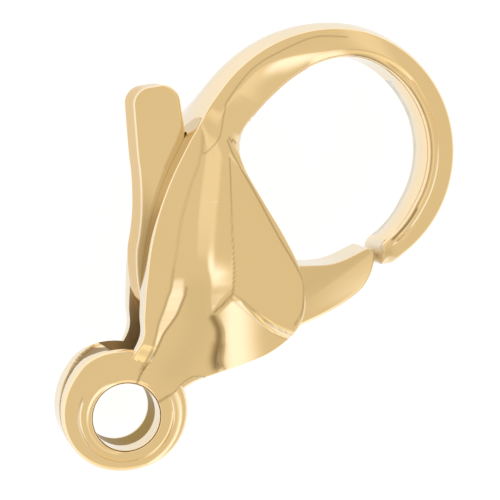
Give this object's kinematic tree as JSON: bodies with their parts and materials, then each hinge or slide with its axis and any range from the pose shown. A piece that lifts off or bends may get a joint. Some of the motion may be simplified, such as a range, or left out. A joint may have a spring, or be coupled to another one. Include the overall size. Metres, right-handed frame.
{
  "type": "lobster clasp",
  "caption": "Lobster-claw clasp for jewellery: a ring-shaped hook and an eye in a polished gold-coloured casting, closed by a sprung lever with a thumb tab.",
  "frame": {"origin": "centre of the eye's hole at half thickness", "axes": "+X from the eye to the hook, +Y towards the thumb tab's side, +Z along the eye's hole and the lever's pivot, through the clasp's thickness"},
  "size_m": [0.0149, 0.0092, 0.0038],
  "materials": {
    "gold": "mirror-polished stainless steel with a pale gold-coloured vacuum coating",
    "steel": "plain bright steel"
  },
  "bodies": {
    "frame": {"frame": "gold", "pivot_pin": "steel", "spring": "steel"},
    "lever": {"lever": "gold"}
  },
  "joints": [
    {"name": "lever_pivot", "type": "hinge", "parent": "frame", "child": "lever", "pos_m": [0.004, -0.0007, 0], "axis": [0, 0, 1], "range_deg": [0, 22], "stiffness_Nm_per_rad": 0.01, "springref_deg": -14.32, "deforming": ["spring"]}
  ]
}
